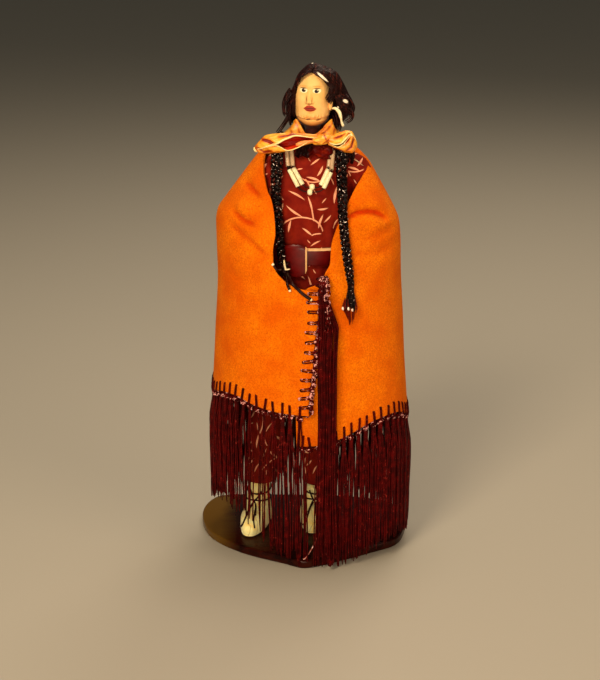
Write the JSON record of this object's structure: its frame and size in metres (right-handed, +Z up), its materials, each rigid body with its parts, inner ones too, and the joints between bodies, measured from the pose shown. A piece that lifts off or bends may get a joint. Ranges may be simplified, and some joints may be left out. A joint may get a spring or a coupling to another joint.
{
  "type": "doll",
  "caption": "Cloth doll with braided hair, satin neckerchief and printed shirt, wrapped in a felt blanket with long knotted fringe, on a thin wooden board.",
  "frame": {"origin": "middle of the object's box, on the board's underside", "axes": "+Z up, the doll faces -Y, +X to the right of a viewer in front of it"},
  "size_m": [0.1526, 0.1168, 0.347],
  "materials": {
    "varnished_wood": "dark glossy varnish",
    "hide": "pale soft hide",
    "printed_cotton": "maroon cotton with pale leafy print",
    "belt_leather": "glossy maroon with pale cut edge",
    "orange_felt": "thick wool felt",
    "maroon_thread": "silky twisted thread",
    "painted_skin": "painted cloth",
    "dark_hair": "glossy dark hair",
    "gold_satin": "satin",
    "thong": "dark thong with pale cut tips",
    "bone": "polished bone",
    "dark_cord": "thin dark cord",
    "shell_white": "pale shell"
  },
  "bodies": {
    "root": {"base": "varnished_wood", "moccasin_left": "hide", "moccasin_right": "hide", "trousers": "printed_cotton", "shirt": "printed_cotton", "belt": "belt_leather", "blanket": "orange_felt", "hem_fringe": "maroon_thread", "front_fringe": "maroon_thread", "head": "painted_skin", "hair": "dark_hair", "scarf": "gold_satin", "braid_left": "dark_hair", "braid_right": "dark_hair", "braid_tie": "thong", "necklace_tube_1": "bone", "necklace_tube_2": "bone", "necklace_tube_3": "bone", "necklace_tube_4": "bone", "necklace_tube_5": "bone", "necklace_tube_6": "bone", "necklace_tube_7": "bone", "necklace_tube_8": "bone", "necklace_bead_outer": "bone", "necklace_bead_inner": "bone", "necklace_cord_outer": "dark_cord", "necklace_cord_inner": "dark_cord", "ear_drop": "shell_white"}
  },
  "joints": []
}
